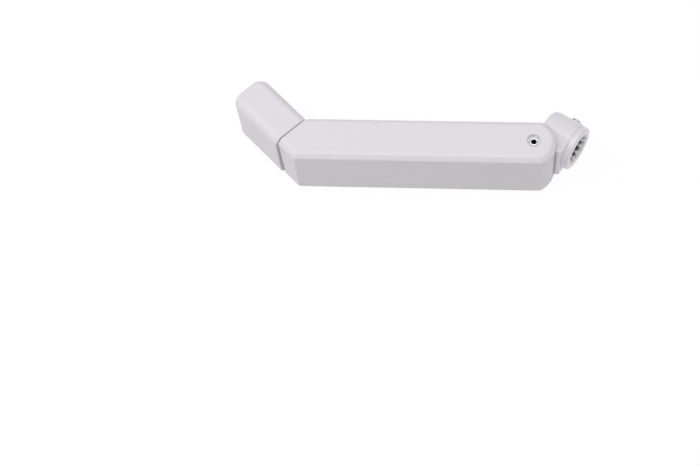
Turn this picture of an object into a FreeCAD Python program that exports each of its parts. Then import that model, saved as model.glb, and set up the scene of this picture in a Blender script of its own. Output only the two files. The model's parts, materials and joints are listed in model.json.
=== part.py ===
"""Folding crank handle for a casement window operator, at real size in millimetres.

A cast arm with a dog-leg end carries a turning knob at one end and a folding splined hub at the other.
The arm is a channel: two ears and a front wall, open at the back, so that the hub folds into it.
Everything is drawn about the fold pivot, at mid height, with the arm lying along -X.
At the end it is moved so that the origin is where the set screw's axis crosses the socket's axis.
"""
import FreeCAD, Part
import math
import os
from FreeCAD import Vector

# Arm
ARM_HEIGHT = 24.0
ARM_WIDTH = 17.0
ARM_WALL = 2.0
ARM_END_WIDTH = 14.4      # dog-leg end, across
ARM_REACH = 82.9          # fold pivot to the inner corner of the bend
EDGE_CHAMFER = 1.8
FACE_SOFT = 1.5           # radius that softens the chamfer where it meets the top and the bottom
SIDE_SOFT = 0.6           # and where it meets the sides
BEND_RADIUS = 0.9
BEND_ANGLE = 45.0
END_BULGE = 1.0           # radius of the rounded end, in plan, past half the arm's width
END_BACK = 1.3            # its centre lies this far behind the fold pivot
END_ROUND = 0.8           # upright rounds where the sides meet the rounded end
END_SETBACK = 0.8         # knob end's face, short of the bend's inner corner
END_WALL = 3.4            # wall that carries the knob's screw
END_DRAFT = 3.0           # degrees that the knob end leans back towards its foot
RIB = 1.6
RIB_SETBACK = 1.2         # the middle rib stops short of the open back
RIB_PLACE = 0.58          # middle rib, as a share of the way from hub pocket to bend
POCKET_ROUND = 1.0
POCKET_ROOM = 0.6         # room left round the folded hub

# Fold pivot
RIVET_DIAMETER = 2.8
RIVET_HOLE = 1.9
RIVET_HOLE_DEPTH = 5.0
RIVET_LIP = 0.25          # how far the rolled end stands out past the shank
RIVET_LIP_HEIGHT = 0.45
RIVET_HEAD_DIAMETER = 4.5
RIVET_HEAD_HEIGHT = 0.9
RECESS_DIAMETER = 5.0
RECESS_DEPTH = 1.3
PAD_RADIUS = 5.0
PAD_HEIGHT = 0.9
RUNNING = 0.05            # radial clearance of a turning fit
FOLD_WASHER_DIAMETER = 8.4
FOLD_WASHER = 0.6
WAVE_STOCK = 0.25
WAVE_HEIGHT = 0.6
WAVES = 3
WAVE_STEPS = 16           # straight steps that each wave is drawn in
SEAT = 0.02               # slack either side of a wave washer

# Hub
OPEN_ANGLE = 31.0         # socket axis below the arm's line when unfolded
SOCKET_OFFSET = 11.4      # socket axis to fold pivot
SOCKET_AHEAD = 12.4       # mouth of the socket ahead of the fold pivot
BARREL_ROOM = 1.2         # barrel to the inside of each ear
BARREL_LENGTH = 14.3
BARREL_REAR_ROUND = 1.5
COLLAR_LENGTH = 2.5
COLLAR_STEP = 0.35
COLLAR_CHAMFER = 0.5
KNUCKLE_RADIUS = 5.5
LUG_FACE = 1.9            # stop face of the lug, from the fold pivot towards the socket
LUG_ROUND = 1.2
LUG_RIM_ROUND = 0.6
STOP_GAP = 0.55           # from the lug's stop face to the end of the arm's front wall
SPLINES = 12
SPLINE_ROOT_DIAMETER = 11.4
SPLINE_CREST_DIAMETER = 9.4
SPLINE_ROOT_SHARE = 0.46  # share of the pitch taken by a groove at its root
SPLINE_CREST_SHARE = 0.30 # share of the pitch taken by a tooth at its crest
SPLINE_DEPTH = 10.0
MOUTH_CHAMFER = 0.35

# Set screw
SCREW_DIAMETER = 4.2
SCREW_BACK = 6.5          # its axis behind the mouth of the socket
SCREW_PROUD = 1.1
SCREW_TIP_ROOM = 0.45     # from its cup point to the tooth crests
SCREW_KEY = 2.0           # hexagon across flats
SCREW_KEY_DEPTH = 2.2
SCREW_CUP_DIAMETER = 2.2
SCREW_CUP_DEPTH = 0.5
SCREW_CHAMFER = 0.3
SCREW_FIT = 0.04
SPOT_DIAMETER = 6.4
SPOT_DEPTH = 0.45

# Knob and its shoulder screw
KNOB_PROUD = 0.7          # outer side past the arm's dog-leg; the inner side is flush
KNOB_STEP = 0.2           # top and bottom below the arm's
KNOB_END = 26.3           # arm's end face to the knob's far face
KNOB_GAP = 0.5
KNOB_EDGE = 2.2           # height and depth of the slopes along its sides
KNOB_END_SLOPE = 0.9      # depth of the slopes at its far end
KNOB_SOFT = 1.6
KNOB_CORNER = 4.0         # upright corners at the far end
KNOB_FACE_CORNER = 2.6    # the same corners on the top and bottom faces
SHOULDER_DIAMETER = 5.0
THREAD_DIAMETER = 4.0
THREAD_LENGTH = 6.6
THREAD_FIT = 0.04
THREAD_CHAMFER = 0.6
BUSH_WALL = 1.0
BUSH_LENGTH = 6.0
BUSH_FLANGE = 0.9
BUSH_FLANGE_DIAMETER = 9.0
BUSH_FIT = 0.03
HEAD_BORE_DIAMETER = 9.6
HEAD_BORE_DEPTH = 8.0
HEAD_DIAMETER = 8.4
HEAD_HEIGHT = 2.8
HEAD_CHAMFER = 0.4
HEAD_KEY = 3.0
HEAD_KEY_DEPTH = 1.7
BOSS_DIAMETER = 9.0

# Places that follow from the sizes above
HALF = ARM_HEIGHT / 2
END_RADIUS = ARM_WIDTH / 2 + END_BULGE
INNER_HALF = HALF - ARM_WALL
PAD_FACE = INNER_HALF - PAD_HEIGHT
KNUCKLE_TOP = PAD_FACE - FOLD_WASHER
KNUCKLE_FOOT = -PAD_FACE + WAVE_HEIGHT + FOLD_WASHER
RIVET_RADIUS = RIVET_DIAMETER / 2
PIVOT_HOLE_RADIUS = RIVET_RADIUS + RUNNING
BARREL_RADIUS = INNER_HALF - BARREL_ROOM
MOUTH_RADIUS = SPLINE_ROOT_DIAMETER / 2 + MOUTH_CHAMFER
CREST_RADIUS = SPLINE_CREST_DIAMETER / 2
SCREW_AHEAD = SOCKET_AHEAD - SCREW_BACK
SCREW_REACH = BARREL_RADIUS + SCREW_PROUD
POCKET_LEFT = -(SOCKET_OFFSET + SCREW_REACH + POCKET_ROOM)
KNOB_WAY = Vector(-math.cos(math.radians(BEND_ANGLE)), math.sin(math.radians(BEND_ANGLE)), 0)
KNOB_SIDE = Vector(-KNOB_WAY.y, KNOB_WAY.x, 0)
BEND = Vector(-ARM_REACH, ARM_WIDTH / 2, 0)
END_CORNER = BEND - KNOB_WAY * END_SETBACK
KNOB_WIDTH = ARM_END_WIDTH + KNOB_PROUD
KNOB_HALF = HALF - KNOB_STEP
KNOB_AXIS_FOOT = END_CORNER + KNOB_SIDE * (KNOB_WIDTH / 2)
HEAD_SEAT = KNOB_END - HEAD_BORE_DEPTH + BUSH_FLANGE + WAVE_HEIGHT

UP = Vector(0, 0, 1)
ALONG = Vector(1, 0, 0)
PIVOT = Vector(0, 0, 0)
TOUCH = 1e-4
PAST = 5.0                # how far a cutting tool runs past what it cuts


def polygon_face(points):
    """Flat face inside straight edges."""
    return Part.Face(Part.makePolygon(points + [points[0]]))


def tube(inner_radius, outer_radius, height, foot, axis):
    """Ring of rectangular section."""
    outer = Part.makeCylinder(outer_radius, height, foot, axis)
    return outer.cut(Part.makeCylinder(inner_radius, height, foot, axis))


def hexagon(across_flats, depth, mouth, axis):
    """Key socket cut from its mouth against the axis."""
    radius = across_flats / math.sqrt(3)
    side = axis.cross(UP if abs(axis.z) < 0.9 else ALONG)
    side.normalize()
    across = axis.cross(side)
    corners = []
    for step in range(6):
        turn = math.radians(60 * step)
        corners.append(mouth + side * (radius * math.cos(turn)) + across * (radius * math.sin(turn)))
    return polygon_face(corners).extrude(axis * -depth)


def wave_washer(inner_radius, outer_radius):
    """Thin spring ring that rises and falls WAVES times, lying on z = 0."""
    swing = (WAVE_HEIGHT - WAVE_STOCK) / 2 - SEAT
    sections = []
    for step in range(WAVE_STEPS * WAVES):
        turn = 2 * math.pi * step / (WAVE_STEPS * WAVES)
        out = Vector(math.cos(turn), math.sin(turn), 0)
        foot = UP * (WAVE_HEIGHT / 2 - WAVE_STOCK / 2 + swing * math.cos(WAVES * turn))
        corners = [foot + out * inner_radius, foot + out * outer_radius]
        corners += [corner + UP * WAVE_STOCK for corner in reversed(corners)]
        sections.append(Part.makePolygon(corners + [corners[0]]))
    return Part.makeLoft(sections, True, True, True)


def flat_edges(shape, height, keep=None):
    """Edges lying wholly at one height, or those of them that pass a test on their middle point."""
    found = []
    for edge in shape.Edges:
        middle = edge.valueAt((edge.FirstParameter + edge.LastParameter) / 2)
        heights = [vertex.Z for vertex in edge.Vertexes] + [middle.z]
        level = max(abs(z - height) for z in heights) < TOUCH
        if level and (keep is None or keep(middle)):
            found.append(edge)
    return found


def upright_edges(shape, keep):
    """Vertical straight edges that pass a test on their middle point."""
    found = []
    for edge in shape.Edges:
        way = edge.tangentAt(edge.FirstParameter)
        if abs(abs(way.z) - 1) < TOUCH and keep(edge.CenterOfMass):
            found.append(edge)
    return found


# Arm

def arm_outline(inset, end_inset, back, bend_radius, height):
    """Arm's plan at one height, drawn inwards from its front, its rounded end and its knob end."""
    front = -ARM_WIDTH / 2 + inset
    side = END_CORNER + KNOB_SIDE * (ARM_END_WIDTH - inset)
    corner = side - KNOB_WAY * end_inset
    start = END_CORNER - KNOB_WAY * end_inset
    inner = start + KNOB_SIDE * ((back - start.y) / KNOB_SIDE.y)
    half_turn = math.radians(BEND_ANGLE / 2)
    bend = side + KNOB_WAY * ((front - side.y) / KNOB_WAY.y)
    bend_start = bend + KNOB_WAY * (bend_radius * math.tan(half_turn))
    bend_end = bend + ALONG * (bend_radius * math.tan(half_turn))
    bend_middle = bend_end + Vector(-math.sin(half_turn), 1 - math.cos(half_turn), 0) * bend_radius
    radius = END_RADIUS - inset
    turn = -END_BACK + math.sqrt((radius - END_ROUND) ** 2 - (front + END_ROUND) ** 2)
    round_middle = Vector(turn, front + END_ROUND, 0)
    outward = (round_middle + ALONG * END_BACK).normalize()
    between = (outward + Vector(0, -1, 0)).normalize()
    near = [Vector(turn, front, 0), round_middle + between * END_ROUND, ALONG * -END_BACK + outward * radius]
    tip = Vector(-END_BACK + radius, 0, 0)
    far = [Vector(point.x, -point.y, 0) for point in reversed(near)]
    edges = [
        Part.makeLine(inner, corner),
        Part.makeLine(corner, bend_start),
        Part.Arc(bend_start, bend_middle, bend_end).toShape(),
        Part.makeLine(bend_end, near[0]),
        Part.Arc(*near).toShape(),
        Part.Arc(near[-1], tip, far[0]).toShape(),
        Part.Arc(*far).toShape(),
    ]
    last = Vector(turn, back, 0)
    if abs(back + front) > TOUCH:
        edges.append(Part.makeLine(far[-1], last))
    edges.append(Part.makeLine(last, inner))
    outline = Part.Wire(edges)
    outline.translate(UP * height)
    return outline


def arm_blank():
    """Solid arm, drawn past its knob end with chamfered and softened rims, then cut off square."""
    half_width = ARM_WIDTH / 2
    rim = HALF - EDGE_CHAMFER
    blank = Part.Face(arm_outline(0, -PAST, half_width, BEND_RADIUS, -rim)).extrude(UP * (2 * rim))
    slopes = []
    for way in (1, -1):
        wide = arm_outline(0, -PAST, half_width, BEND_RADIUS, way * rim)
        narrow = arm_outline(EDGE_CHAMFER, EDGE_CHAMFER - PAST, half_width - EDGE_CHAMFER, BEND_RADIUS,
                             way * HALF)
        slopes.append(Part.makeLoft([wide, narrow], True, True))
    blank = blank.fuse(slopes).removeSplitter().Solids[0]
    blank = blank.makeFillet(FACE_SOFT, flat_edges(blank, HALF) + flat_edges(blank, -HALF))
    blank = blank.makeFillet(SIDE_SOFT, flat_edges(blank, rim) + flat_edges(blank, -rim))
    past = Part.makeBox(3 * PAST, 2 * KNOB_WIDTH, ARM_HEIGHT, Vector(0, -KNOB_WIDTH, -HALF))
    return blank.cut(on_knob_axis(past))


def pocket(left, right, back):
    """Space between two ribs, open at the back, with rounded upright corners."""
    plan = Part.Face(arm_outline(ARM_WALL, END_WALL, back, POCKET_ROUND, -INNER_HALF))
    box = Part.makeBox(right - left, 2 * ARM_WIDTH, 2 * INNER_HALF, Vector(left, -ARM_WIDTH, -INNER_HALF))
    space = plan.extrude(UP * (2 * INNER_HALF)).common(box)
    wall_face = ARM_WALL - ARM_WIDTH / 2

    def at_rib(point):
        return abs(point.y - wall_face) < TOUCH and min(abs(point.x - left), abs(point.x - right)) < TOUCH

    return space.makeFillet(POCKET_ROUND, upright_edges(space, at_rib))


def arm_channel():
    """Hub pocket, the two pockets of the arm and the low way over the middle rib."""
    behind = ARM_WIDTH / 2 + PAST
    second = POCKET_LEFT - RIB
    rib = second - (second + ARM_REACH) * RIB_PLACE
    hub_pocket = pocket(POCKET_LEFT, END_RADIUS + PAST, behind)
    arm_pocket = pocket(rib, second, behind)
    bend_pocket = pocket(-2 * ARM_REACH, rib - RIB, behind)
    setback = Part.makeBox(3 * RIB, RIB_SETBACK + PAST, 2 * INNER_HALF,
                           Vector(rib - 2 * RIB, ARM_WIDTH / 2 - RIB_SETBACK, -INNER_HALF))
    return hub_pocket.fuse([arm_pocket, bend_pocket, setback])


def hub_way():
    """Space that the hub swings through, bounded by the end of the front wall that stops the lug."""
    wall_end = LUG_FACE - STOP_GAP
    reach = 2 * END_RADIUS + PAST
    way = Part.makeBox(2 * reach, reach, 2 * INNER_HALF, Vector(-END_RADIUS, wall_end, -INNER_HALF))
    way.rotate(PIVOT, UP, -OPEN_ANGLE)
    return way


def arm_end_cut():
    """Wedge that leans the knob end back, leaving a round seat for the knob's bushing."""
    lean = ARM_HEIGHT * math.tan(math.radians(END_DRAFT))
    wide = 2 * KNOB_WIDTH
    wedge = polygon_face([Vector(0, -wide, HALF), Vector(0, -wide, -HALF), Vector(-lean, -wide, -HALF)])
    wedge = wedge.extrude(Vector(0, 2 * wide, 0))
    seat = Part.makeCylinder(BUSH_FLANGE_DIAMETER / 2, 2 * lean, Vector(-lean, 0, 0), ALONG)
    return on_knob_axis(wedge.cut(seat))


def arm():
    """Cast arm: ears, front wall, ribs, pivot pads and the boss that takes the knob's screw."""
    shell = arm_blank().cut(arm_channel().fuse(hub_way()))
    boss = Part.makeCylinder(BOSS_DIAMETER / 2, THREAD_LENGTH, Vector(-THREAD_LENGTH, 0, 0), ALONG)
    pads = []
    for way in (1, -1):
        pads.append(Part.makeCylinder(PAD_RADIUS, PAD_HEIGHT, UP * (way * INNER_HALF), UP * -way))
    shell = shell.fuse([on_knob_axis(boss)] + pads)
    thread = Part.makeCylinder(THREAD_DIAMETER / 2 + THREAD_FIT, THREAD_LENGTH + PAST,
                               Vector(-THREAD_LENGTH - PAST / 2, 0, 0), ALONG)
    cuts = [on_knob_axis(thread), arm_end_cut()]
    cuts.append(Part.makeCylinder(PIVOT_HOLE_RADIUS, ARM_HEIGHT, UP * -HALF, UP))
    for way in (1, -1):
        cuts.append(Part.makeCylinder(RECESS_DIAMETER / 2, RECESS_DEPTH, UP * (way * HALF), UP * -way))
    return shell.cut(cuts).removeSplitter()


# Fold pivot

def fold_rivet():
    """Semi-tubular rivet: low head below, rolled open end above, both sunk in the ears."""
    floor = HALF - RECESS_DEPTH
    lip = RIVET_RADIUS + RIVET_LIP
    bore = RIVET_HOLE / 2
    crown = floor + RIVET_LIP_HEIGHT
    roll = (lip - bore) / 4
    head = RIVET_HEAD_DIAMETER / 2
    foot = -floor - RIVET_HEAD_HEIGHT
    bottom = floor - RIVET_HOLE_DEPTH
    profile = [
        (0, foot), (head - RIVET_HEAD_HEIGHT, foot), (head, -floor - RIVET_HEAD_HEIGHT / 2), (head, -floor),
        (RIVET_RADIUS, -floor), (RIVET_RADIUS, floor), (lip, floor), (lip, crown - roll),
        (lip - roll, crown), (bore + roll, crown), (bore, crown - roll), (bore, bottom),
        (0, bottom - bore / 2),
    ]
    section = polygon_face([Vector(radius, 0, height) for radius, height in profile])
    return section.revolve(PIVOT, UP, 360)


def fold_washer(foot):
    """Flat plastic washer between the hub's knuckle and an ear."""
    return tube(PIVOT_HOLE_RADIUS, FOLD_WASHER_DIAMETER / 2, FOLD_WASHER, UP * foot, UP)


def fold_wave_washer():
    """Spring washer under the lower flat washer, which holds the fold where it is put."""
    ring = wave_washer(PIVOT_HOLE_RADIUS, FOLD_WASHER_DIAMETER / 2)
    ring.translate(UP * -PAD_FACE)
    return ring


# Hub

def spline_face():
    """Outline of the splined hole: grooves at the root circle, teeth at the crest circle."""
    pitch = 2 * math.pi / SPLINES
    root_half = pitch * SPLINE_ROOT_SHARE / 2
    crest_half = pitch * SPLINE_CREST_SHARE / 2

    def at(diameter, turn):
        return Vector(0, diameter / 2 * math.cos(turn), diameter / 2 * math.sin(turn))

    edges = []
    for tooth in range(SPLINES):
        groove = tooth * pitch
        crest = groove + pitch / 2
        a = at(SPLINE_ROOT_DIAMETER, groove - root_half)
        b = at(SPLINE_ROOT_DIAMETER, groove + root_half)
        c = at(SPLINE_CREST_DIAMETER, crest - crest_half)
        d = at(SPLINE_CREST_DIAMETER, crest + crest_half)
        following = at(SPLINE_ROOT_DIAMETER, groove + pitch - root_half)
        edges.append(Part.Arc(a, at(SPLINE_ROOT_DIAMETER, groove), b).toShape())
        edges.append(Part.makeLine(b, c))
        edges.append(Part.Arc(c, at(SPLINE_CREST_DIAMETER, crest), d).toShape())
        edges.append(Part.makeLine(d, following))
    return Part.Face(Part.Wire(edges))


def barrel():
    """Round body of the hub: rounded rear, flat in line with the lug's face, smaller collar at the mouth."""
    rear = Vector(SOCKET_AHEAD - BARREL_LENGTH, SOCKET_OFFSET, 0)
    step = Vector(SOCKET_AHEAD - COLLAR_LENGTH, SOCKET_OFFSET, 0)
    body = Part.makeCylinder(BARREL_RADIUS, BARREL_LENGTH - COLLAR_LENGTH, rear, ALONG)
    rear_rim = [e for e in body.Edges if abs(e.CenterOfMass.x - rear.x) < TOUCH and e.Length > BARREL_RADIUS]
    body = body.makeFillet(BARREL_REAR_ROUND, rear_rim)
    step_rim = [e for e in body.Edges if abs(e.CenterOfMass.x - step.x) < TOUCH and e.Length > BARREL_RADIUS]
    body = body.makeChamfer(COLLAR_STEP, step_rim)
    below = Part.makeBox(BARREL_LENGTH - COLLAR_LENGTH, BARREL_RADIUS, 2 * BARREL_RADIUS,
                         Vector(rear.x, LUG_FACE - BARREL_RADIUS, -BARREL_RADIUS))
    body = body.cut(below)
    collar = Part.makeCylinder(BARREL_RADIUS - COLLAR_STEP, COLLAR_LENGTH, step, ALONG)
    mouth_rim = [e for e in collar.Edges if abs(e.CenterOfMass.x - SOCKET_AHEAD) < TOUCH]
    return body.fuse(collar.makeChamfer(COLLAR_CHAMFER, mouth_rim))


def lug():
    """Squared block beside the barrel whose near face meets the end of the arm's front wall."""
    front = SOCKET_AHEAD - COLLAR_LENGTH
    height = KNUCKLE_TOP - KNUCKLE_FOOT
    block = Part.makeBox(front, SOCKET_OFFSET - LUG_FACE, height, Vector(0, LUG_FACE, KNUCKLE_FOOT))
    corner = upright_edges(block, lambda p: p.x > front - TOUCH and p.y < LUG_FACE + TOUCH)
    block = block.makeFillet(LUG_ROUND, corner)
    rims = flat_edges(block, KNUCKLE_TOP, lambda p: p.x > TOUCH and p.y < SOCKET_OFFSET - TOUCH)
    rims += flat_edges(block, KNUCKLE_FOOT, lambda p: p.x > TOUCH and p.y < SOCKET_OFFSET - TOUCH)
    return block.makeFillet(LUG_RIM_ROUND, rims)


def hub():
    """Cast hub: splined barrel, pivot knuckle and stop lug, with the set screw's hole."""
    knuckle = Part.makeCylinder(KNUCKLE_RADIUS, KNUCKLE_TOP - KNUCKLE_FOOT, UP * KNUCKLE_FOOT, UP)
    body = barrel().fuse([knuckle, lug()])
    spline = spline_face()
    spline.translate(Vector(SOCKET_AHEAD, SOCKET_OFFSET, 0))
    socket = spline.extrude(ALONG * -SPLINE_DEPTH)
    mouth = Vector(SOCKET_AHEAD, SOCKET_OFFSET, 0)
    lead = Part.makeCone(MOUTH_RADIUS, CREST_RADIUS, MOUTH_RADIUS - CREST_RADIUS, mouth, ALONG * -1)
    pivot_hole = Part.makeCylinder(PIVOT_HOLE_RADIUS, ARM_HEIGHT, UP * -HALF, UP)
    side = Vector(0, 1, 0)
    screw_foot = Vector(SCREW_AHEAD, SOCKET_OFFSET, 0)
    screw_hole = Part.makeCylinder(SCREW_DIAMETER / 2 + SCREW_FIT, 2 * BARREL_RADIUS, screw_foot, side)
    spot_foot = screw_foot + side * (BARREL_RADIUS - SPOT_DEPTH)
    spot = Part.makeCylinder(SPOT_DIAMETER / 2, PAST, spot_foot, side)
    return on_hub(body.cut([socket, lead, pivot_hole, screw_hole, spot]).removeSplitter())


def set_screw():
    """Cup-point set screw with a hexagon key socket, a little proud of the barrel."""
    side = Vector(0, 1, 0)
    tip = CREST_RADIUS + SCREW_TIP_ROOM
    foot = Vector(SCREW_AHEAD, SOCKET_OFFSET + tip, 0)
    length = SCREW_REACH - tip
    body = Part.makeCylinder(SCREW_DIAMETER / 2, length, foot, side)
    body = body.makeChamfer(SCREW_CHAMFER, [e for e in body.Edges if e.isClosed()])
    cup = Part.makeCone(SCREW_CUP_DIAMETER / 2, 0, SCREW_CUP_DEPTH, foot, side)
    key = hexagon(SCREW_KEY, SCREW_KEY_DEPTH, foot + side * length, side)
    return on_hub(body.cut([cup, key]))


# Knob

def knob_outline(inset, end_inset, corner, height):
    """Knob's plan at one height, with two rounded corners at its far end."""
    half = KNOB_WIDTH / 2 - inset
    end = KNOB_END - end_inset
    bulge = corner * (1 - math.sqrt(0.5))
    edges = []
    for way in (1, -1):
        near = Vector(-PAST, way * half, 0)
        turn = Vector(end - corner, way * half, 0)
        middle = Vector(end - bulge, way * (half - bulge), 0)
        last = Vector(end, way * (half - corner), 0)
        edges += [Part.makeLine(near, turn), Part.Arc(turn, middle, last).toShape()]
    edges.append(Part.makeLine(Vector(end, half - corner, 0), Vector(end, corner - half, 0)))
    edges.append(Part.makeLine(Vector(-PAST, -half, 0), Vector(-PAST, half, 0)))
    outline = Part.Wire(Part.sortEdges(edges)[0])
    outline.translate(UP * height)
    return outline


def knob_blank():
    """Solid knob, drawn past its near end with sloped and softened rims, then cut off square."""
    rim = KNOB_HALF - KNOB_EDGE
    blank = Part.Face(knob_outline(0, 0, KNOB_CORNER, -rim)).extrude(UP * (2 * rim))
    slopes = []
    for way in (1, -1):
        wide = knob_outline(0, 0, KNOB_CORNER, way * rim)
        narrow = knob_outline(KNOB_EDGE, KNOB_END_SLOPE, KNOB_FACE_CORNER, way * KNOB_HALF)
        slopes.append(Part.makeLoft([wide, narrow], True, True))
    blank = blank.fuse(slopes).removeSplitter().Solids[0]
    blank = blank.makeFillet(KNOB_SOFT, flat_edges(blank, KNOB_HALF) + flat_edges(blank, -KNOB_HALF))
    blank = blank.makeFillet(KNOB_SOFT, flat_edges(blank, rim) + flat_edges(blank, -rim))
    foot = Vector(KNOB_GAP - 2 * PAST, -KNOB_WIDTH, -HALF)
    return blank.cut(Part.makeBox(2 * PAST, 2 * KNOB_WIDTH, ARM_HEIGHT, foot))


def knob():
    """Cast knob, bored for its bushings and for the screw's head."""
    shoulder_room = SHOULDER_DIAMETER / 2 + BUSH_WALL + BUSH_FIT
    bores = [Part.makeCylinder(shoulder_room, KNOB_END, PIVOT, ALONG)]
    flange_room = BUSH_FLANGE_DIAMETER / 2 + BUSH_FIT
    bores.append(Part.makeCylinder(flange_room, BUSH_FLANGE, PIVOT, ALONG))
    head_floor = Vector(KNOB_END - HEAD_BORE_DEPTH, 0, 0)
    bores.append(Part.makeCylinder(HEAD_BORE_DIAMETER / 2, HEAD_BORE_DEPTH, head_floor, ALONG))
    return on_knob_axis(knob_blank().cut(bores))


def knob_bushing(foot, way):
    """Flanged plastic bushing pressed into the knob, its flange at the foot."""
    bore = SHOULDER_DIAMETER / 2 + RUNNING
    sleeve = tube(bore, SHOULDER_DIAMETER / 2 + BUSH_WALL, BUSH_LENGTH, foot, way)
    flange = tube(bore, BUSH_FLANGE_DIAMETER / 2, BUSH_FLANGE, foot, way)
    return on_knob_axis(sleeve.fuse(flange).removeSplitter())


def knob_wave_washer():
    """Spring washer under the screw's head, which takes up the knob's end play."""
    ring = wave_washer(SHOULDER_DIAMETER / 2 + RUNNING, HEAD_DIAMETER / 2)
    ring.rotate(PIVOT, Vector(0, 1, 0), 90)
    ring.translate(ALONG * (HEAD_SEAT - WAVE_HEIGHT))
    return on_knob_axis(ring)


def knob_screw():
    """Shoulder screw: threaded into the arm's boss, its head sunk in the knob's far end."""
    head = Part.makeCylinder(HEAD_DIAMETER / 2, HEAD_HEIGHT, ALONG * HEAD_SEAT, ALONG)
    top = HEAD_SEAT + HEAD_HEIGHT
    rim = [e for e in head.Edges if abs(e.CenterOfMass.x - top) < TOUCH]
    head = head.makeChamfer(HEAD_CHAMFER, rim)
    shoulder = Part.makeCylinder(SHOULDER_DIAMETER / 2, HEAD_SEAT, PIVOT, ALONG)
    thread = Part.makeCylinder(THREAD_DIAMETER / 2, THREAD_LENGTH, ALONG * -THREAD_LENGTH, ALONG)
    tip = [e for e in thread.Edges if abs(e.CenterOfMass.x + THREAD_LENGTH) < TOUCH]
    thread = thread.makeChamfer(THREAD_CHAMFER, tip)
    screw = head.fuse([shoulder, thread]).removeSplitter()
    return on_knob_axis(screw.cut(hexagon(HEAD_KEY, HEAD_KEY_DEPTH, ALONG * top, ALONG)))


# Placing

def on_knob_axis(shape):
    """Carry a shape drawn along +X from the arm's knob end onto the knob's axis."""
    moved = shape.copy()
    moved.rotate(PIVOT, UP, 180 - BEND_ANGLE)
    moved.translate(KNOB_AXIS_FOOT)
    return moved


def on_hub(shape):
    """Turn a shape drawn with the socket along +X to the hub's unfolded place."""
    moved = shape.copy()
    moved.rotate(PIVOT, UP, -OPEN_ANGLE)
    return moved


def origin_shift():
    """From the fold pivot to the point where the set screw's axis crosses the socket's axis."""
    crossing = Part.Vertex(SCREW_AHEAD, SOCKET_OFFSET, 0)
    return on_hub(crossing).Point * -1


def build():
    """Every piece by its node's name."""
    far_flange = ALONG * (KNOB_END - HEAD_BORE_DEPTH + BUSH_FLANGE)
    return {
        "arm": arm(),
        "fold_rivet": fold_rivet(),
        "fold_washer_upper": fold_washer(KNUCKLE_TOP),
        "fold_washer_lower": fold_washer(KNUCKLE_FOOT - FOLD_WASHER),
        "fold_wave_washer": fold_wave_washer(),
        "hub": hub(),
        "set_screw": set_screw(),
        "knob": knob(),
        "knob_bushing_inner": knob_bushing(PIVOT, ALONG),
        "knob_bushing_outer": knob_bushing(far_flange, ALONG * -1),
        "knob_wave_washer": knob_wave_washer(),
        "knob_screw": knob_screw(),
    }


os.makedirs("parts", exist_ok=True)
for name, shape in build().items():
    shape.translate(origin_shift())
    shape.exportStep("parts/" + name + ".step")
    box = shape.BoundBox
    print(name, "solids", len(shape.Solids), "valid", shape.isValid(), "volume", round(shape.Volume, 1),
          "size", round(box.XLength, 2), round(box.YLength, 2), round(box.ZLength, 2))
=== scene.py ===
# %% [markdown]
# # A folding crank handle for a casement window
#
# Three white castings make the handle: a dog-leg arm, a knob that turns, and a hub that folds into the arm.
# Steel shows in only three places: the fold rivet, the hub's set screw and the knob's own screw.
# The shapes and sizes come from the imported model. This notebook gives them their finish, light and camera,
# and makes the turned and threaded pieces again with the rounded edges and threads of real fasteners.

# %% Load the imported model
import json
import math

import bmesh
import bpy
from mathutils import Matrix, Vector


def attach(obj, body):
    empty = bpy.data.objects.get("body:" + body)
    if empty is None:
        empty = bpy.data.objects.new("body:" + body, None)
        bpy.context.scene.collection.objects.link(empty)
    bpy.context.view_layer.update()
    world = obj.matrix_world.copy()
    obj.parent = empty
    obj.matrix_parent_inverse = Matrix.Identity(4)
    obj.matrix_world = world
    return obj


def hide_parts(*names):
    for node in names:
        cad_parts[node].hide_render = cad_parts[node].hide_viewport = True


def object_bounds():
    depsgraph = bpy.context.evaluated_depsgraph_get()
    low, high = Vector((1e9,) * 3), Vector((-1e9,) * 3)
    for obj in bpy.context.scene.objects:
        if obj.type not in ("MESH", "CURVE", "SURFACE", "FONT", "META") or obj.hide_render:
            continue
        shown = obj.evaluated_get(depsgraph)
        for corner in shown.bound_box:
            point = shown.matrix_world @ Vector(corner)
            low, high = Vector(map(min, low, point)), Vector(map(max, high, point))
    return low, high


MM = 0.001                # the scene is in metres, and sizes are written in millimetres
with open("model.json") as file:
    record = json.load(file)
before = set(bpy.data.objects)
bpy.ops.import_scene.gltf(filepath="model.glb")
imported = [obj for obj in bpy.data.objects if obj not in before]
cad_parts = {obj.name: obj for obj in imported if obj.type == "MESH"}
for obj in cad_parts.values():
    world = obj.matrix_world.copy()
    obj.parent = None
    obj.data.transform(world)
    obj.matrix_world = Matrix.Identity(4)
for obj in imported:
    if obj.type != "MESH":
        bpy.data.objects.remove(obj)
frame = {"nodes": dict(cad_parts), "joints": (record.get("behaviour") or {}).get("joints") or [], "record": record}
cad_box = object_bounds()
nodes = frame["nodes"]
record = frame["record"]
print("pieces:", ", ".join(sorted(nodes)))
print("box in mm:", [[round(value / MM, 1) for value in corner] for corner in cad_box])

# %% [markdown]
# ## Places to measure from
#
# Three axes carry every turned piece: the fold pivot, the socket with its set screw, and the knob's axis.
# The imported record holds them, so that nothing here has to be typed in twice.
# The set screw stands across the socket, so its axis is level and at right angles to the socket's.

# %% Axes
UP = Vector((0, 0, 1))
joints = {joint["name"]: joint for joint in frame["joints"]}
pivot = Vector(joints["fold"]["pos_m"])
knob_foot = Vector(joints["knob_spin"]["pos_m"])
knob_way = Vector(joints["knob_spin"]["axis"]).normalized()
stud_socket = next(mount for mount in record["mounts"] if mount["name"] == "stud_socket")
crossing = Vector(stud_socket["pos_m"])
socket_way = Vector(stud_socket["axis"]).normalized()
screw_way = UP.cross(socket_way)
print("pivot", [round(value / MM, 2) for value in pivot])
print("set screw's axis", [round(value, 3) for value in screw_way])

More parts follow.
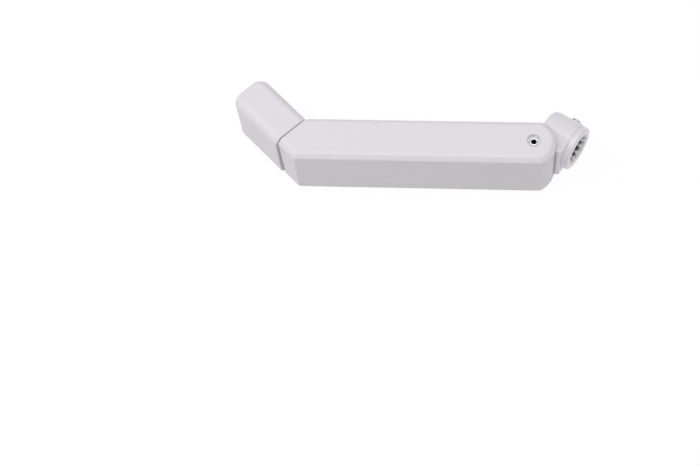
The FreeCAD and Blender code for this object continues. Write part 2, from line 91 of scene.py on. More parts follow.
# %% [markdown]
# ## Camera
#
# A long lens looks down at the handle at about 63 degrees, a little from the right, and rolled by 9 degrees.
# So the handle climbs to the left of the frame, and its front wall shows as a thin band below the top face.
# The three turns are written one by one, which is easier to read and to change than a matrix of numbers.

# %% Camera
AIM = pivot + Vector((-66.06, -27.59, -10.3)) * MM
DISTANCE = 550.5 * MM
AROUND = math.radians(11.39)
ELEVATION = math.radians(62.98)
ROLL = math.radians(-8.90)
SENSOR_WIDTH = 36.0       # a camera takes its sensor and its lens in millimetres
LENS = 77.14
NEAREST = 10 * MM

camera_data = bpy.data.cameras.new("camera")
camera_data.sensor_fit = "HORIZONTAL"
camera_data.sensor_width = SENSOR_WIDTH
camera_data.lens = LENS
camera_data.clip_start = NEAREST
camera = bpy.data.objects.new("camera", camera_data)
bpy.context.scene.collection.objects.link(camera)
turned_view = (Matrix.Rotation(AROUND, 4, "Z") @ Matrix.Rotation(math.pi / 2 - ELEVATION, 4, "X")
               @ Matrix.Rotation(ROLL, 4, "Z"))
camera.matrix_world = Matrix.Translation(AIM) @ turned_view @ Matrix.Translation((0, 0, DISTANCE))
bpy.context.scene.camera = camera
print("camera at", [round(value, 3) for value in camera.matrix_world.translation])

# %% [markdown]
# ## Writing materials as sums
#
# A material is a network of nodes. Written out link by link, even a small one is hard to follow.
# Here one class stands for a node's output, so that `0.3 + grain * 0.1` adds the two Math nodes by itself.
# Every other node comes from a single method, which sets the node's own settings first and then its sockets.


# %% Value
class Value:
    """One output of a node, which Python's own operators can add to and scale."""

    def __init__(self, finish, socket):
        self.finish = finish
        self.socket = socket

    def math(self, operation, *others):
        """What a Math node makes of the values."""
        return self.finish.node("ShaderNodeMath", {"operation": operation}, dict(enumerate(others)))

    def __add__(self, other):
        return self.math("ADD", self, other)

    def __radd__(self, other):
        return self.math("ADD", other, self)

    def __sub__(self, other):
        return self.math("SUBTRACT", self, other)

    def __rsub__(self, other):
        return self.math("SUBTRACT", other, self)

    def __mul__(self, other):
        return self.math("MULTIPLY", self, other)

    def __rmul__(self, other):
        return self.math("MULTIPLY", other, self)

    def sine(self):
        return self.math("SINE", self)

    def clipped(self):
        """The value held between 0 and 1."""
        return self.math("MINIMUM", self.math("MAXIMUM", self, 0.0), 1.0)

    def rise(self, low, high):
        """0 below `low`, 1 above `high`, and straight between."""
        return ((self - low) * (1 / (high - low))).clipped()

    def output(self, name):
        """Another output of the same node."""
        return Value(self.finish, self.socket.node.outputs[name])


# %% Finish
BEVEL_SAMPLES = 6


class Finish:
    """A new material, or the world's own, and the one method that adds nodes to it."""

    def __init__(self, name, owner=None):
        self.material = owner or bpy.data.materials.new(name)
        self.material.use_nodes = True
        self.tree = self.material.node_tree
        self.tree.nodes.clear()

    def node(self, kind, settings=None, sockets=None):
        """Adds a node, sets its settings, then fills or links its sockets by name or number."""
        node = self.tree.nodes.new(kind)
        for name, value in (settings or {}).items():
            setattr(node, name, value)
        for name, value in (sockets or {}).items():
            if isinstance(name, int):
                socket = node.inputs[name]
            else:
                socket = next(s for s in node.inputs if s.name == name and s.enabled)
            if isinstance(value, Value):
                self.tree.links.new(value.socket, socket)
            else:
                socket.default_value = value
        shown = [s for s in node.outputs if s.enabled]
        return Value(self, shown[0]) if shown else None

    def vector_math(self, operation, *values):
        """What a Vector Math node makes of one or two vectors."""
        return self.node("ShaderNodeVectorMath", {"operation": operation}, dict(enumerate(values)))

    def object_coordinates(self):
        """Where a point lies in the piece's own space."""
        return self.node("ShaderNodeTexCoord").output("Object")

    def along(self, where, foot, way):
        """How far a point lies from `foot` in the direction `way`."""
        out = self.vector_math("SUBTRACT", where, foot)
        return self.vector_math("DOT_PRODUCT", out, way).output("Value")

    def from_axis(self, where, foot, way):
        """How far a point lies from the line through `foot` in the direction `way`."""
        out = self.vector_math("SUBTRACT", where, foot)
        across = self.vector_math("CROSS_PRODUCT", out, way)
        return self.vector_math("LENGTH", across).output("Value")

    def noise(self, where, size, detail=3.0):
        """Noise from 0 to 1 whose lumps are about `size` metres across."""
        return self.node("ShaderNodeTexNoise", None, {"Vector": where, "Scale": 1 / size, "Detail": detail})

    def mix(self, amount, first, second, kind="RGBA"):
        """Something between two colours or, where `kind` is VECTOR, between two directions."""
        return self.node("ShaderNodeMix", {"data_type": kind}, {"Factor": amount, "A": first, "B": second})

    def bump(self, height, depth, strength=1.0, normal=None):
        """Raises the surface by up to `depth` metres where `height` is 1."""
        sockets = {"Height": height, "Distance": depth, "Strength": strength}
        if normal:
            sockets["Normal"] = normal
        return self.node("ShaderNodeBump", None, sockets)

    def rounded(self, radius):
        """A normal that treats every sharp edge as if it were rounded."""
        return self.node("ShaderNodeBevel", {"samples": BEVEL_SAMPLES}, {"Radius": radius})

    def surface(self, **sockets):
        """Ends the material in one Principled shader."""
        named = {name.replace("_", " "): value for name, value in sockets.items()}
        shader = self.node("ShaderNodeBsdfPrincipled", None, named)
        self.node("ShaderNodeOutputMaterial", None, {"Surface": shader})
        return self.material


# %% [markdown]
# ## Floor, background and light
#
# The handle lies on a white table in a light tent, and the picture's background is pure white.
# More light would bleach the handle too, so the white comes from the floor's own material.
# To the camera and to reflections the floor mostly glows in full white, and a small share of it still takes
# the handle's shadow. To everything else it is a plain white table that bounces light up at the castings.

# %% Floor and world
WHITE = (1.0, 1.0, 1.0, 1.0)
TABLE_WHITE = (0.74, 0.74, 0.75, 1.0)
TABLE_REACH = 3.0         # metres from the table's middle to its sides
GLOW = 1.04               # brightness of the table as the camera sees it
GLOW_SHARE = 0.90
BACKGROUND = 1.0          # brightness of the tent as the camera sees it
TENT = 0.38               # brightness of the tent as the handle gets it


def seen_directly(finish):
    """1 for camera, glossy and transmission rays, 0 for the light that falls on the object."""
    path = finish.node("ShaderNodeLightPath")
    seen = path.output("Is Camera Ray") + path.output("Is Glossy Ray")
    return (seen + path.output("Is Transmission Ray")).clipped()


table_finish = Finish("white_table")
matt = table_finish.node("ShaderNodeBsdfDiffuse", None, {"Color": TABLE_WHITE})
glow = table_finish.node("ShaderNodeEmission", None, {"Strength": GLOW})
share = seen_directly(table_finish) * GLOW_SHARE
blend = table_finish.node("ShaderNodeMixShader", None, {0: share, 1: matt, 2: glow})
table_finish.node("ShaderNodeOutputMaterial", None, {"Surface": blend})

table_mesh = bmesh.new()
bmesh.ops.create_grid(table_mesh, x_segments=1, y_segments=1, size=TABLE_REACH)
bmesh.ops.translate(table_mesh, verts=table_mesh.verts, vec=(0, 0, cad_box[0][2]))
table_data = bpy.data.meshes.new("table")
table_mesh.to_mesh(table_data)
table_mesh.free()
table = bpy.data.objects.new("table", table_data)
table_data.materials.append(table_finish.material)
bpy.context.scene.collection.objects.link(table)

world = bpy.data.worlds.new("tent")
bpy.context.scene.world = world
tent = Finish("tent", world)
seen = seen_directly(tent)
strength = seen * BACKGROUND + (1 - seen) * TENT
backdrop = tent.node("ShaderNodeBackground", None, {"Color": WHITE, "Strength": strength})
tent.node("ShaderNodeOutputWorld", None, {"Surface": backdrop})
bpy.context.scene.view_settings.view_transform = "Standard"
print("table at", round(cad_box[0][2] / MM, 2), "mm")

# %% [markdown]
# ## Lamps
#
# A large soft box hangs overhead, a little to the front. A weaker one stands on the left and a very weak one
# on the right. The front has none and is left darker. That is what separates the top, the chamfer and the
# front wall of a white object: each faces a different light. The overhead box is as wide as it is far away,
# so that its light runs softly over the paint.
# An area lamp's power is worked out from the brightness that it should add to a white surface facing it.


# %% Lamps
def soft_box(name, direction, distance, size, share):
    """Area lamp towards the handle's middle that adds `share` of full white to a surface facing it."""
    middle = (Vector(cad_box[0]) + Vector(cad_box[1])) / 2
    lamp_data = bpy.data.lights.new(name, "AREA")
    lamp_data.shape = "SQUARE"
    lamp_data.size = size
    lamp_data.energy = share * math.pi ** 2 * distance ** 2
    lamp = bpy.data.objects.new(name, lamp_data)
    way = Vector(direction).normalized()
    lamp.location = middle + way * distance
    lamp.rotation_euler = way.to_track_quat("Z", "Y").to_euler()
    bpy.context.scene.collection.objects.link(lamp)
    print(name, round(lamp_data.energy, 2), "W")


soft_box("overhead_box", (0.1, -0.20, 1.0), distance=0.9, size=0.90, share=0.50)
soft_box("left_box", (-0.8, 0.0, 0.6), distance=0.7, size=0.45, share=0.26)
soft_box("right_box", (0.85, 0.1, 0.6), distance=0.7, size=0.20, share=0.04)

# %% [markdown]
# ## White powder coat
#
# The castings are zinc under a satin powder coat, a hard plastic skin about a tenth of a millimetre thick.
# Up close it isn't flat. It has a fine orange peel, slow waves where the casting shows through, and softer
# edges. A Bevel node rounds every sharp edge in the shading, as the paint does, and fills in the corners.
# One recipe gives the colour and the ripples, and each casting then has its own coat. The arm's is crisp in
# the rivet's recess, the knob's is crisp beside the arm and soft elsewhere, and the hub's is glossier.
# Paint powder hardly reaches into a deep hole, so inside the splined socket it thins out to uncoated cast zinc,
# whose colour is darkened nearly to black as painted shade, in the grooves first.

# %% Paint recipe
WARM_PAINT = (0.775, 0.757, 0.788, 1.0), (0.800, 0.782, 0.812, 1.0)
COOL_PAINT = (0.773, 0.755, 0.797, 1.0), (0.798, 0.780, 0.821, 1.0)
PAINT_IOR = 1.5
PEEL_SIZE = 1.1 * MM
WAVE_SIZE = 9.0 * MM
MOTTLE_SIZE = 3.5 * MM
PEEL_HEIGHT, WAVE_HEIGHT = 0.7, 3.0


def paint_skin(coat, where, paint, edges, depth=0.010 * MM):
    """Colour mottled between the two of `paint`, the mottle, and a normal that ripples by `depth`."""
    peel = coat.noise(where, PEEL_SIZE, detail=2.0)
    waves = coat.noise(where, WAVE_SIZE, detail=1.0)
    mottle = coat.noise(where, MOTTLE_SIZE, detail=4.0)
    colour = coat.mix(mottle, *paint)
    ripple = peel * PEEL_HEIGHT + waves * WAVE_HEIGHT
    skin = coat.bump(ripple, depth, strength=0.6, normal=edges)
    return colour, mottle, skin


print("warm and cool paint:", WARM_PAINT[0][:3], COOL_PAINT[0][:3])

# %% Arm's coat
RECESS_EDGE = 0.3 * MM
RECESS_RIM = 3.0 * MM, 3.6 * MM     # from the pivot: the edges turn from crisp to soft between these


def arm_coat(name, edge):
    """Satin white paint over a casting whose edges are rounded by `edge`, and less in the rivet's recess."""
    coat = Finish(name)
    where = coat.object_coordinates()
    outside = coat.from_axis(where, pivot, UP).rise(*RECESS_RIM)
    edges = coat.mix(outside, coat.rounded(RECESS_EDGE), coat.rounded(edge), "VECTOR")
    colour, mottle, skin = paint_skin(coat, where, WARM_PAINT, edges)
    return coat.surface(Base_Color=colour, Roughness=0.42 + mottle * 0.10, Normal=skin,
                        Coat_Weight=0.15, Coat_Roughness=0.18, IOR=PAINT_IOR)


arm_paint = arm_coat("white_powder_coat_arm", 0.9 * MM)
print(arm_paint.name, len(arm_paint.node_tree.nodes), "nodes")

# %% Knob's coat
CRISP_END = 0.5 * MM, 3.0 * MM      # along the knob's axis: crisp below the first, soft above the second


def knob_coat(name, edge, worn_edge):
    """The same paint over a knob that is crisp beside the arm and soft everywhere else."""
    coat = Finish(name)
    where = coat.object_coordinates()
    grip = coat.along(where, knob_foot, knob_way).rise(*CRISP_END)
    edges = coat.mix(grip, coat.rounded(edge), coat.rounded(worn_edge), "VECTOR")
    colour, mottle, skin = paint_skin(coat, where, COOL_PAINT, edges)
    return coat.surface(Base_Color=colour, Roughness=0.44 + mottle * 0.10, Normal=skin,
                        Coat_Weight=0.15, Coat_Roughness=0.20, IOR=PAINT_IOR)


knob_paint = knob_coat("white_powder_coat_knob", 0.4 * MM, 1.8 * MM)
print(knob_paint.name, len(knob_paint.node_tree.nodes), "nodes")


# %% Measuring a node
def measure(name, foot, way):
    """Lowest and highest place of a node along an axis, its bore and its outer radius, in millimetres."""
    along, away = [], []
    for vertex in nodes[name].data.vertices:
        out = vertex.co - foot
        place = out.dot(way)
        along.append(place / MM)
        away.append((out - way * place).length / MM)
    return min(along), max(along), min(away), max(away)


socket_mouth = measure("hub", crossing, socket_way)[1]
print("mouth of the socket", round(socket_mouth, 2), "mm from the set screw's axis")

# %% Hub's coat
# Uncoated zinc darkened nearly to black: the metal is real, and the near-black is painted shade deep in the
# socket.
ZINC_DARKENED_AS_SHADE = (0.07, 0.07, 0.08, 1.0)
HUB_RIPPLE = 0.024 * MM
CREST_RADIUS = stud_socket["dims"]["r_mm"] * MM
SPLINE_HEIGHT = 1.0 * MM
GROOVE_RADIUS = CREST_RADIUS + SPLINE_HEIGHT
SOCKET_DEPTH = 10 * MM
FRAY_SIZE, FRAY_REACH = 0.8 * MM, 1.0 * MM    # how uneven the end of the paint is

# Ranges over which a mask rises from 0 to 1.
IN_GROOVES = CREST_RADIUS + 0.45 * MM, CREST_RADIUS + 0.80 * MM
PAST_WALLS = GROOVE_RADIUS + 0.15 * MM, GROOVE_RADIUS + 0.25 * MM
PAST_BOTTOM = SOCKET_DEPTH + 0.2 * MM, SOCKET_DEPTH + 0.4 * MM
# Depths below the mouth where the crests, and the grooves sooner, lose their paint and take the painted shade.
CRESTS_UNPAINTED_AND_SHADED = 2.4 * MM, 4.8 * MM
GROOVES_UNPAINTED_AND_SHADED = 1.5 * MM, 2.3 * MM


def socket_coat(name, edge):
    """The same paint, thinning down the splined socket to uncoated zinc that painted shade darkens nearly to
    black.
    """
    coat = Finish(name)
    where = coat.object_coordinates()
    colour, mottle, skin = paint_skin(coat, where, COOL_PAINT, coat.rounded(edge), HUB_RIPPLE)
    depth = socket_mouth * MM - coat.along(where, crossing, socket_way)
    frayed_depth = depth + coat.noise(where, FRAY_SIZE) * FRAY_REACH
    radius = coat.from_axis(where, crossing, socket_way)
    inside = (1 - radius.rise(*PAST_WALLS)) * (1 - depth.rise(*PAST_BOTTOM))
    in_groove = radius.rise(*IN_GROOVES)
    # Deeper in, the paint thins to zinc and the colour darkens as painted shade, sooner in the grooves.
    unpainted_and_shaded = frayed_depth.rise(*CRESTS_UNPAINTED_AND_SHADED) + in_groove * frayed_depth.rise(*GROOVES_UNPAINTED_AND_SHADED)
    bare_and_shaded = unpainted_and_shaded.clipped() * inside
    return coat.surface(Base_Color=coat.mix(bare_and_shaded, colour, ZINC_DARKENED_AS_SHADE), Metallic=bare_and_shaded * 0.6,
                        Roughness=0.26 + mottle * 0.08 + bare_and_shaded * 0.2, Normal=skin,
                        Coat_Weight=0.45 - bare_and_shaded * 0.45, Coat_Roughness=0.05, IOR=PAINT_IOR)


hub_paint = socket_coat("white_powder_coat_hub", 0.40 * MM)
print(hub_paint.name, len(hub_paint.node_tree.nodes), "nodes")

# %% [markdown]
# ## Steel, spring steel and nylon
#
# The rivet and the screws are zinc-plated steel. They were turned, so fine rings run round each one's axis.
# The rings are the sine of the distance from that axis, which two Vector Math nodes work out.
# Hardly any light comes back out of the rivet's deep hole, so its wall is painted black from a little below the
# lip, as painted shade.
# The wave washers are blued spring steel, and the flat washers and bushings are natural nylon.

# %% Turned steel
RING_PITCH = 0.12 * MM
MARK_DEPTH = 0.004 * MM
CLOUD_SIZE = 1.2 * MM


def turned_skin(steel, where, foot, way, tints):
    """Clouded colour, the cloud itself and the turning marks round an axis."""
    rings = (steel.from_axis(where, foot, way) * (2 * math.pi / RING_PITCH)).sine()
    cloud = steel.noise(where, CLOUD_SIZE)
    marks = steel.bump(rings * 0.5 + cloud, MARK_DEPTH, strength=0.5)
    return steel.mix(cloud, *tints), cloud, marks


def turned_steel(name, foot, way, tints, roughness):
    """Steel with turning marks round an axis."""
    steel = Finish(name)
    colour, cloud, marks = turned_skin(steel, steel.object_coordinates(), foot, way, tints)
    return steel.surface(Base_Color=colour, Metallic=1.0, Roughness=roughness + cloud * 0.12, Normal=marks)


BRIGHT_TINTS = (0.60, 0.60, 0.63, 1.0), (0.74, 0.74, 0.77, 1.0)
DULL_TINTS = (0.56, 0.56, 0.59, 1.0), (0.68, 0.68, 0.71, 1.0)
BLUED_TINTS = (0.30, 0.31, 0.34, 1.0), (0.42, 0.43, 0.47, 1.0)
set_screw_steel = turned_steel("set_screw_steel", crossing, screw_way, DULL_TINTS, 0.32)
knob_screw_steel = turned_steel("knob_screw_steel", knob_foot, knob_way, BRIGHT_TINTS, 0.24)
spring_steel = turned_steel("spring_steel", pivot, UP, BLUED_TINTS, 0.26)
print("steels:", set_screw_steel.name, knob_screw_steel.name, spring_steel.name)

# %% Hollow steel
# Near-black painted shade for the wall deep in the rivet's hole.
HOLE_SHADE = (0.012, 0.012, 0.013, 1.0)
RIVET_TINTS = (0.62, 0.64, 0.65, 1.0), (0.76, 0.78, 0.79, 1.0)
RIVET_HOLE = 0.95
HOLE_RIM = 0.08                     # millimetres outside the hole, where the steel is bright again
LIT_DEPTH, BLACK_DEPTH = 0.5, 1.2   # millimetres below the mouth


def hollow_steel(name, foot, way, tints, roughness, hole, mouth):
    """Turned steel with a hole of the radius `hole` whose wall is painted black, as shade, from a little below its
    `mouth`.
    """
    steel = Finish(name)
    where = steel.object_coordinates()
    colour, cloud, marks = turned_skin(steel, where, foot, way, tints)
    outside = steel.from_axis(where, foot, way).rise(hole * MM, (hole + HOLE_RIM) * MM)
    near_mouth = steel.along(where, foot, way).rise((mouth - BLACK_DEPTH) * MM, (mouth - LIT_DEPTH) * MM)
    # Below the lit mouth, the hole's wall gets the painted shade.
    seen = steel.mix((outside + near_mouth).clipped(), HOLE_SHADE, colour)
    return steel.surface(Base_Color=seen, Metallic=1.0, Roughness=roughness + cloud * 0.12, Normal=marks)


rivet_foot, rivet_crown, _, rivet_head = measure("fold_rivet", pivot, UP)
rivet_steel = hollow_steel("rivet_steel", pivot, UP, RIVET_TINTS, 0.28, RIVET_HOLE, rivet_crown)
print("rivet from", round(rivet_foot, 2), "to", round(rivet_crown, 2), "mm about the pivot")

# %% Nylon
NYLON_TINTS = (0.76, 0.74, 0.67, 1.0), (0.81, 0.79, 0.73, 1.0)
HAZE_SIZE = 2.0 * MM
GRAIN_SIZE, GRAIN_DEPTH = 0.4 * MM, 0.003 * MM


def nylon():
    """Natural nylon, faintly cloudy and warm beside the paint."""
    plastic = Finish("natural_nylon")
    where = plastic.object_coordinates()
    haze = plastic.noise(where, HAZE_SIZE)
    return plastic.surface(Base_Color=plastic.mix(haze, *NYLON_TINTS), Roughness=0.42 + haze * 0.1,
                           Normal=plastic.bump(plastic.noise(where, GRAIN_SIZE), GRAIN_DEPTH))


washer_nylon = nylon()
print(washer_nylon.name, len(washer_nylon.node_tree.nodes), "nodes")

# %% [markdown]
# ## Turned pieces
#
# Rivets, washers, bushings and screws all come off a lathe, so each is one outline spun about an axis.
# An outline is a list of corners, given as distance from the axis, height along it, and how round they are.
# A vertex bevel rounds them before the spin, which costs far fewer faces than rounding the solid afterwards.
# The work is done in millimetres about Z, and `place` brings the result to its own axis and to metres.

# %% Lathe
LATHE_STEPS = 72
ROUNDING_SEGMENTS = 5
DOUBLES = 1e-4            # millimetres, below which two points are one
SHARP_ANGLE = math.radians(32)
bodies = {node: body for body, members in record["behaviour"]["bodies"].items() for node in members}


def lathe(outline, steps=LATHE_STEPS):
    """Solid of revolution about Z from (radius, height, rounding) corners."""
    shape = bmesh.new()
    corners = [shape.verts.new((radius, 0, height)) for radius, height, _ in outline]
    for first, second in zip(corners, corners[1:] + corners[:1]):
        if first.co.x + second.co.x > 0:
            shape.edges.new((first, second))
    for corner, (_, _, rounding) in zip(corners, outline):
        if rounding:
            bmesh.ops.bevel(shape, geom=[corner], offset=rounding, segments=ROUNDING_SEGMENTS, profile=0.5,
                            affect="VERTICES", material=-1)
    bmesh.ops.spin(shape, geom=shape.verts[:] + shape.edges[:], cent=(0, 0, 0), axis=(0, 0, 1),
                   angle=2 * math.pi, steps=steps, use_merge=True)
    bmesh.ops.remove_doubles(shape, verts=shape.verts[:], dist=DOUBLES)
    bmesh.ops.recalc_face_normals(shape, faces=shape.faces[:])
    return shape


def place(shape, node, finish, foot, way):
    """Carries a shape made about Z, in millimetres, to its axis and lets it stand for a node."""
    turn = way.to_track_quat("Z", "Y").to_matrix().to_4x4()
    shape.transform(Matrix.Translation(foot) @ turn @ Matrix.Scale(MM, 4))
    mesh = bpy.data.meshes.new(node + "_turned")
    shape.to_mesh(mesh)
    shape.free()
    mesh.materials.append(finish)
    mesh.shade_smooth()
    mesh.set_sharp_from_angle(angle=SHARP_ANGLE)
    piece = bpy.data.objects.new(node + "_turned", mesh)
    bpy.context.scene.collection.objects.link(piece)
    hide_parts(node)
    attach(piece, bodies[node])
    print(piece.name, len(mesh.polygons), "faces on", bodies[node])


# %% [markdown]
# ## Fold rivet
#
# A semi-tubular rivet is hollow at one end. A riveting tool rolls that end outwards into a half-round lip,
# which shows as a bright ring round a black hole. At the other end is a low domed head in the lower ear.

# %% Fold rivet
SHANK, LIP = 1.40, 1.65
LIP_HEIGHT, HEAD_HEIGHT = 0.45, 0.90
HOLE_DEPTH = 5.0
DOME, SEAT_EDGE, HOLE_EDGE = 0.75, 0.08, 0.1
roll = (LIP - RIVET_HOLE) / 2 - 0.01
lip_seat = rivet_crown - LIP_HEIGHT
head_seat = rivet_foot + HEAD_HEIGHT
hole_floor = lip_seat - HOLE_DEPTH
rivet_outline = [
    (0, rivet_foot, 0), (rivet_head, rivet_foot, DOME), (rivet_head, head_seat, SEAT_EDGE),
    (SHANK, head_seat, 0), (SHANK, lip_seat, 0), (LIP, lip_seat, SEAT_EDGE), (LIP, rivet_crown, roll),
    (RIVET_HOLE, rivet_crown, roll), (RIVET_HOLE, hole_floor, HOLE_EDGE),
    (0, hole_floor - RIVET_HOLE / 2, 0),
]
place(lathe(rivet_outline), "fold_rivet", rivet_steel, pivot, UP)

# %% [markdown]
# ## Washers and bushings
#
# Flat washers are punched from nylon sheet, so their rims are only slightly rounded.
# A wave washer is a flat steel ring that was pressed into three waves. Here the ring is spun flat,
# and each of its points is then lifted by the cosine of three times its angle.
# A bushing is a short nylon sleeve with a flange, and the end that is pressed in first is rounded most.

# %% Flat washers and wave washers
BORE_EDGE, RIM_EDGE = 0.06, 0.10
WAVES = 3
SPRING_STOCK, SPRING_EDGE = 0.25, 0.04
SPRING_STEPS = 144        # twice the usual, so that the waves stay smooth


def flat_washer(node):
    """Nylon ring on the fold's axis."""
    low, high, bore, rim = measure(node, pivot, UP)
    ring = lathe([(bore, low, BORE_EDGE), (rim, low, RIM_EDGE),
                  (rim, high, RIM_EDGE), (bore, high, BORE_EDGE)])
    place(ring, node, washer_nylon, pivot, UP)


def wave_washer(node, foot, way):
    """Steel ring that is spun flat and then lifted into waves."""
    low, high, bore, rim = measure(node, foot, way)
    middle = (low + high) / 2
    swing = (high - low - SPRING_STOCK) / 2
    under = middle - SPRING_STOCK / 2
    over = middle + SPRING_STOCK / 2
    ring = lathe([(bore, under, SPRING_EDGE), (rim, under, SPRING_EDGE),
                  (rim, over, SPRING_EDGE), (bore, over, SPRING_EDGE)], SPRING_STEPS)
    for vertex in ring.verts:
        vertex.co.z += swing * math.cos(WAVES * math.atan2(vertex.co.y, vertex.co.x))
    place(ring, node, spring_steel, foot, way)


flat_washer("fold_washer_upper")
flat_washer("fold_washer_lower")
wave_washer("fold_wave_washer", pivot, UP)
wave_washer("knob_wave_washer", knob_foot, knob_way)

# %% Bushings
SLEEVE_RADIUS = 3.5
FLANGE = 0.9
MOUTH_EDGE, FLANGE_EDGE, LEADING_EDGE = 0.25, 0.15, 0.30


def bushing(node, way):
    """Flanged bushing whose flange is at its foot, seen along `way`."""
    low, high, bore, rim = measure(node, knob_foot, way)
    flange_top = low + FLANGE
    sleeve = lathe([(bore, low, MOUTH_EDGE), (rim, low, FLANGE_EDGE), (rim, flange_top, FLANGE_EDGE),
                    (SLEEVE_RADIUS, flange_top, 0), (SLEEVE_RADIUS, high, LEADING_EDGE),
                    (bore, high, FLANGE_EDGE)])
    place(sleeve, node, washer_nylon, knob_foot, way)


bushing("knob_bushing_inner", knob_way)
bushing("knob_bushing_outer", -knob_way)

# %% [markdown]
# ## Screws
#
# A thread is a V-shaped groove along a helix. The spin operator makes one if each of its steps also moves
# along the axis, so a triangle spun for several turns is the cutter. A Boolean modifier takes it from the
# plain screw, and a second cut with a hexagonal prism makes the key's socket. The exact solver keeps the
# result closed, and the slivers that it leaves are merged. The thread's cutter is turned by half a step of
# the lathe, so that its corners don't fall on the screw's own edges.

# %% Thread and key cutters
HALF_A_LATHE_STEP = math.pi / LATHE_STEPS
THREAD_STEPS = 36         # in a turn
ABOVE = 1.0               # millimetres by which the key's cutter stands out of the screw


def thread_cutter(crest, pitch, low, high):
    """Helical V-groove that leaves a flat crest an eighth of the pitch wide."""
    cutter = bmesh.new()
    bottom = crest - pitch * 0.54
    outside = crest + pitch * 0.07
    half_mouth = pitch * 0.49
    corners = [(bottom, 0, low), (outside, 0, low - half_mouth), (outside, 0, low + half_mouth)]
    start = cutter.faces.new([cutter.verts.new(corner) for corner in corners])
    turns = (high - low) / pitch
    bmesh.ops.spin(cutter, geom=[start, *start.verts, *start.edges], cent=(0, 0, 0), axis=(0, 0, 1),
                   dvec=(0, 0, pitch / THREAD_STEPS), angle=2 * math.pi * turns,
                   steps=round(turns * THREAD_STEPS))
    turn = Matrix.Rotation(HALF_A_LATHE_STEP, 3, "Z")
    bmesh.ops.rotate(cutter, verts=cutter.verts[:], cent=(0, 0, 0), matrix=turn)
    bmesh.ops.recalc_face_normals(cutter, faces=cutter.faces[:])
    return cutter


def key_cutter(across_flats, mouth, depth):
    """Hexagonal prism that reaches `depth` below the mouth and a little above it."""
    cutter = bmesh.new()
    radius = across_flats / math.sqrt(3)
    bmesh.ops.create_cone(cutter, cap_ends=True, segments=6, radius1=radius, radius2=radius,
                          depth=depth + ABOVE)
    bmesh.ops.translate(cutter, verts=cutter.verts, vec=(0, 0, mouth + (ABOVE - depth) / 2))
    return cutter


# %% Cutting one shape with another
SLIVER = 0.001            # millimetres, below which an edge is closed up


def cut(shape, cutter):
    """The shape without the space of the cutter."""
    holders = []
    for part in (shape, cutter):
        mesh = bpy.data.meshes.new("cutting")
        part.to_mesh(mesh)
        part.free()
        holders.append(bpy.data.objects.new("cutting", mesh))
        bpy.context.scene.collection.objects.link(holders[-1])
    boolean = holders[0].modifiers.new("cut", "BOOLEAN")
    boolean.operation = "DIFFERENCE"
    boolean.solver = "EXACT"
    boolean.object = holders[1]
    result = bmesh.new()
    result.from_object(holders[0], bpy.context.evaluated_depsgraph_get())
    for holder in holders:
        mesh = holder.data
        bpy.data.objects.remove(holder)
        bpy.data.meshes.remove(mesh)
    bmesh.ops.remove_doubles(result, verts=result.verts[:], dist=SLIVER)
    bmesh.ops.dissolve_degenerate(result, edges=result.edges[:], dist=SLIVER)
    open_edges = [edge for edge in result.edges if len(edge.link_faces) != 2]
    print("cut", len(result.faces), "faces, open edges", len(open_edges))
    return result


# %% Set screw
SET_RADIUS, SET_PITCH = 2.1, 0.8
SET_KEY, SET_KEY_DEPTH = 2.0, 2.2
CUP_RADIUS, CUP_DEPTH, CUP_EDGE = 1.1, 0.5, 0.05
SET_LEAD_IN = 0.45        # chamfer at the tip, where the thread starts
SET_TOP_CHAMFER, SET_TOP_EDGE = 0.3, 0.1
tip, top, _, _ = measure("set_screw", crossing, screw_way)
set_outline = [
    (0, tip + CUP_DEPTH, 0), (CUP_RADIUS, tip, CUP_EDGE), (SET_RADIUS - SET_LEAD_IN, tip, CUP_EDGE),
    (SET_RADIUS, tip + SET_LEAD_IN, 0), (SET_RADIUS, top - SET_TOP_CHAMFER, 0),
    (SET_RADIUS - SET_TOP_CHAMFER, top, SET_TOP_EDGE), (0, top, 0),
]
set_thread = thread_cutter(SET_RADIUS, SET_PITCH, tip - SET_PITCH, top + SET_PITCH)
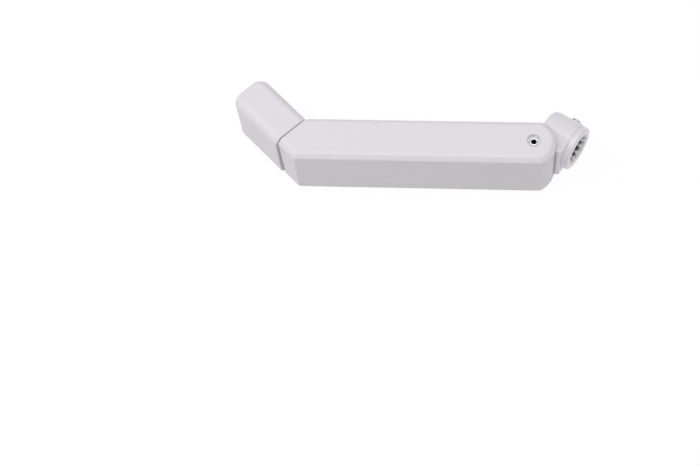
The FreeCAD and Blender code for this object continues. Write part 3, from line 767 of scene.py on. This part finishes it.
set_screw = cut(lathe(set_outline), set_thread)
set_screw = cut(set_screw, key_cutter(SET_KEY, top, SET_KEY_DEPTH))
place(set_screw, "set_screw", set_screw_steel, crossing, screw_way)

# %% Knob screw
THREAD_RADIUS, KNOB_PITCH = 2.0, 0.7
KNOB_KEY, KNOB_KEY_DEPTH = 3.0, 1.7
SHOULDER_RADIUS, SHOULDER_EDGE = 2.5, 0.2
HEAD, HEAD_EDGE, HEAD_TOP_EDGE = 2.8, 0.2, 0.45
KNOB_LEAD_IN, KNOB_TIP_EDGE = 0.6, 0.1
SHOULDER_FOOT, THREAD_END = -0.05, -1.2       # heights about the knob joint's own origin
tip, top, _, head_radius = measure("knob_screw", knob_foot, knob_way)
knob_screw_outline = [
    (0, tip, 0), (THREAD_RADIUS - KNOB_LEAD_IN, tip, KNOB_TIP_EDGE),
    (THREAD_RADIUS, tip + KNOB_LEAD_IN, KNOB_TIP_EDGE), (THREAD_RADIUS, SHOULDER_FOOT, 0),
    (SHOULDER_RADIUS, SHOULDER_FOOT, SHOULDER_EDGE), (SHOULDER_RADIUS, top - HEAD, 0),
    (head_radius, top - HEAD, HEAD_EDGE), (head_radius, top, HEAD_TOP_EDGE), (0, top, 0),
]
knob_thread = thread_cutter(THREAD_RADIUS, KNOB_PITCH, tip - KNOB_PITCH, THREAD_END)
knob_screw = cut(lathe(knob_screw_outline), knob_thread)
knob_screw = cut(knob_screw, key_cutter(KNOB_KEY, top, KNOB_KEY_DEPTH))
place(knob_screw, "knob_screw", knob_screw_steel, knob_foot, knob_way)

# %% [markdown]
# ## Painting the castings
#
# Arm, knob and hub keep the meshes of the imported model, whose form is already right, and only need paint.
# A casting may come with no material slot or with several, and every slot gets the casting's own coat.

# %% Paint the castings
FINISHES = {"arm": arm_paint, "knob": knob_paint, "hub": hub_paint}
for name, finish in FINISHES.items():
    casting = nodes[name]
    if not casting.material_slots:
        casting.data.materials.append(finish)
    for slot in casting.material_slots:
        slot.material = finish
print("painted", ", ".join(FINISHES))
